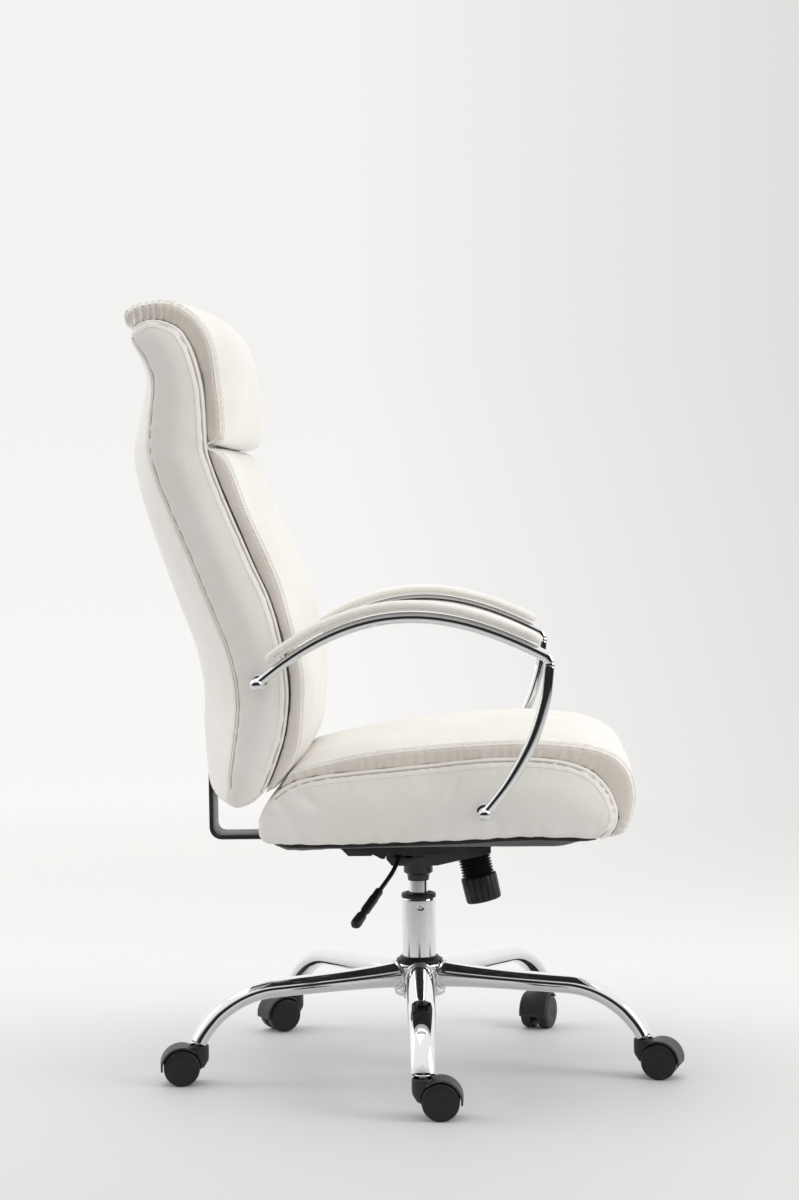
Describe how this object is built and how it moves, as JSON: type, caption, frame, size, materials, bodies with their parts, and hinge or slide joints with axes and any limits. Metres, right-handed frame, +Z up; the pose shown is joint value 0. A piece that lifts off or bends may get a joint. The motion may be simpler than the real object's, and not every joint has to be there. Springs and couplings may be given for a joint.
{
  "type": "swivel office chair",
  "caption": "High-back padded swivel chair with bent-tube arms, gas lift, tilt mechanism and a star-shaped base on casters.",
  "frame": {"origin": "on the floor, below the centre of the chair's footprint box; the gas lift's axis stands 21.1 mm towards +X and 3.8 mm towards -Y from it", "axes": "+Z up; the sitter faces -Y; the sitter's right-hand side, with the lever, is -X"},
  "size_m": [0.6798, 0.7764, 1.1204],
  "materials": {
    "chrome": "polished",
    "steel": "satin",
    "black_steel": "satin",
    "black_plastic": "satin",
    "wheel_plastic": "satin",
    "leather_white": "satin",
    "lining_fabric": "matte",
    "plywood": "matte"
  },
  "bodies": {
    "base": {"base_hub": "chrome", "hub_collar": "black_plastic", "base_leg_1": "chrome", "base_leg_2": "chrome", "base_leg_3": "chrome", "base_leg_4": "chrome", "base_leg_5": "chrome", "lift_outer_tube": "chrome", "lift_top_bush": "black_plastic", "caster_1_stem": "steel", "caster_2_stem": "steel", "caster_3_stem": "steel", "caster_4_stem": "steel", "caster_5_stem": "steel"},
    "lift_rod": {"piston_rod": "steel", "retaining_clip": "black_steel"},
    "lift": {"gas_cylinder": "steel", "mechanism_housing": "black_steel", "tension_bolt": "steel", "tension_spring": "steel", "tension_bellows": "black_plastic"},
    "seat": {"tilt_plate": "black_steel", "tilt_pivot_pin": "steel", "seat_board": "plywood", "seat_lining": "lining_fabric", "seat_base_cushion": "leather_white", "seat_top_cushion": "leather_white", "back_bracket": "black_steel", "back_shell": "leather_white", "back_cushion": "leather_white", "headrest": "leather_white", "arm_frame_right": "chrome", "arm_frame_left": "chrome", "arm_pad_right": "leather_white", "arm_pad_left": "leather_white"},
    "tension_knob": {"tension_knob": "black_plastic"},
    "lever_slide": {"lever_bush": "black_plastic"},
    "lever": {"lever_rod": "black_steel", "lever_grip": "black_plastic"},
    "release_button": {"release_button": "black_plastic"},
    "caster_1": {"caster_1_hood": "black_plastic", "caster_1_axle": "steel"},
    "caster_1_wheel_a": {"caster_1_wheel_a": "wheel_plastic"},
    "caster_1_wheel_b": {"caster_1_wheel_b": "wheel_plastic"},
    "caster_2": {"caster_2_hood": "black_plastic", "caster_2_axle": "steel"},
    "caster_2_wheel_a": {"caster_2_wheel_a": "wheel_plastic"},
    "caster_2_wheel_b": {"caster_2_wheel_b": "wheel_plastic"},
    "caster_3": {"caster_3_hood": "black_plastic", "caster_3_axle": "steel"},
    "caster_3_wheel_a": {"caster_3_wheel_a": "wheel_plastic"},
    "caster_3_wheel_b": {"caster_3_wheel_b": "wheel_plastic"},
    "caster_4": {"caster_4_hood": "black_plastic", "caster_4_axle": "steel"},
    "caster_4_wheel_a": {"caster_4_wheel_a": "wheel_plastic"},
    "caster_4_wheel_b": {"caster_4_wheel_b": "wheel_plastic"},
    "caster_5": {"caster_5_hood": "black_plastic", "caster_5_axle": "steel"},
    "caster_5_wheel_a": {"caster_5_wheel_a": "wheel_plastic"},
    "caster_5_wheel_b": {"caster_5_wheel_b": "wheel_plastic"}
  },
  "joints": [
    {"name": "seat_swivel", "type": "hinge", "parent": "base", "child": "lift_rod", "pos_m": [0.02107, -0.00383, 0.1], "axis": [0, 0, 1], "continuous": true},
    {"name": "height_adjust", "type": "slide", "parent": "lift_rod", "child": "lift", "axis": [0, 0, 1], "range_m": [0, 0.1]},
    {"name": "seat_tilt", "type": "hinge", "parent": "lift", "child": "seat", "pos_m": [0.02107, -0.02283, 0.3272], "axis": [-1, 0, 0], "range_deg": [0, 15], "stiffness_Nm_per_rad": 110, "springref_deg": -17.19},
    {"name": "lever_pull", "type": "slide", "parent": "lift", "child": "lever_slide", "axis": [-1, 0, 0], "range_m": [0, 0.006]},
    {"name": "lever_lift", "type": "hinge", "parent": "lever_slide", "child": "lever", "pos_m": [-0.02892, 0.01617, 0.3215], "axis": [0, 1, 0], "range_deg": [0, 5], "stiffness_Nm_per_rad": 0.8, "springref_deg": -14.32},
    {"name": "release_press", "type": "slide", "parent": "lift", "child": "release_button", "axis": [0, 0, -1], "range_m": [0, 0.0055]},
    {"name": "tension_turn", "type": "hinge", "parent": "lift", "child": "tension_knob", "pos_m": [0.02107, -0.08533, 0.31402], "axis": [0, 0.2164, 0.9763], "range_deg": [-810, 810]},
    {"name": "caster_1_swivel", "type": "hinge", "parent": "base", "child": "caster_1", "pos_m": [-0.31735, -0.01742, 0.05], "axis": [0, 0, 1], "continuous": true},
    {"name": "caster_1_roll_a", "type": "hinge", "parent": "caster_1", "child": "caster_1_wheel_a", "pos_m": [-0.30335, -0.04142, 0.026], "axis": [1, 0, 0], "continuous": true},
    {"name": "caster_1_roll_b", "type": "hinge", "parent": "caster_1", "child": "caster_1_wheel_b", "pos_m": [-0.33135, -0.04142, 0.026], "axis": [1, 0, 0], "continuous": true},
    {"name": "caster_2_swivel", "type": "hinge", "parent": "base", "child": "caster_2", "pos_m": [-0.07058, -0.32989, 0.05], "axis": [0, 0, 1], "continuous": true},
    {"name": "caster_2_roll_a", "type": "hinge", "parent": "caster_2", "child": "caster_2_wheel_a", "pos_m": [-0.06327, -0.3567, 0.026], "axis": [0.9659, -0.2588, 0], "continuous": true},
    {"name": "caster_2_roll_b", "type": "hinge", "parent": "caster_2", "child": "caster_2_wheel_b", "pos_m": [-0.09031, -0.34945, 0.026], "axis": [0.9659, -0.2588, 0], "continuous": true},
    {"name": "caster_3_swivel", "type": "hinge", "parent": "base", "child": "caster_3", "pos_m": [0.30286, -0.19175, 0.05], "axis": [0, 0, 1], "continuous": true},
    {"name": "caster_3_roll_a", "type": "hinge", "parent": "caster_3", "child": "caster_3_wheel_a", "pos_m": [0.2753, -0.19526, 0.026], "axis": [-0.3907, -0.9205, 0], "continuous": true},
    {"name": "caster_3_roll_b", "type": "hinge", "parent": "caster_3", "child": "caster_3_wheel_b", "pos_m": [0.28624, -0.16949, 0.026], "axis": [-0.3907, -0.9205, 0], "continuous": true},
    {"name": "caster_4_swivel", "type": "hinge", "parent": "base", "child": "caster_4", "pos_m": [0.28688, 0.20609, 0.05], "axis": [0, 0, 1], "continuous": true},
    {"name": "caster_4_roll_a", "type": "hinge", "parent": "caster_4", "child": "caster_4_wheel_a", "pos_m": [0.26252, 0.21945, 0.026], "axis": [-0.8572, -0.515, 0], "continuous": true},
    {"name": "caster_4_roll_b", "type": "hinge", "parent": "caster_4", "child": "caster_4_wheel_b", "pos_m": [0.28652, 0.23387, 0.026], "axis": [-0.8572, -0.515, 0], "continuous": true},
    {"name": "caster_5_swivel", "type": "hinge", "parent": "base", "child": "caster_5", "pos_m": [-0.09643, 0.31384, 0.05], "axis": [0, 0, 1], "continuous": true},
    {"name": "caster_5_roll_a", "type": "hinge", "parent": "caster_5", "child": "caster_5_wheel_a", "pos_m": [-0.11364, 0.33565, 0.026], "axis": [-0.9903, -0.1392, 0], "continuous": true},
    {"name": "caster_5_roll_b", "type": "hinge", "parent": "caster_5", "child": "caster_5_wheel_b", "pos_m": [-0.08591, 0.33955, 0.026], "axis": [-0.9903, -0.1392, 0], "continuous": true}
  ],
  "couplings": [
    {"joint": "release_press", "follows": "lever_lift", "m_per_rad": 0.06}
  ]
}
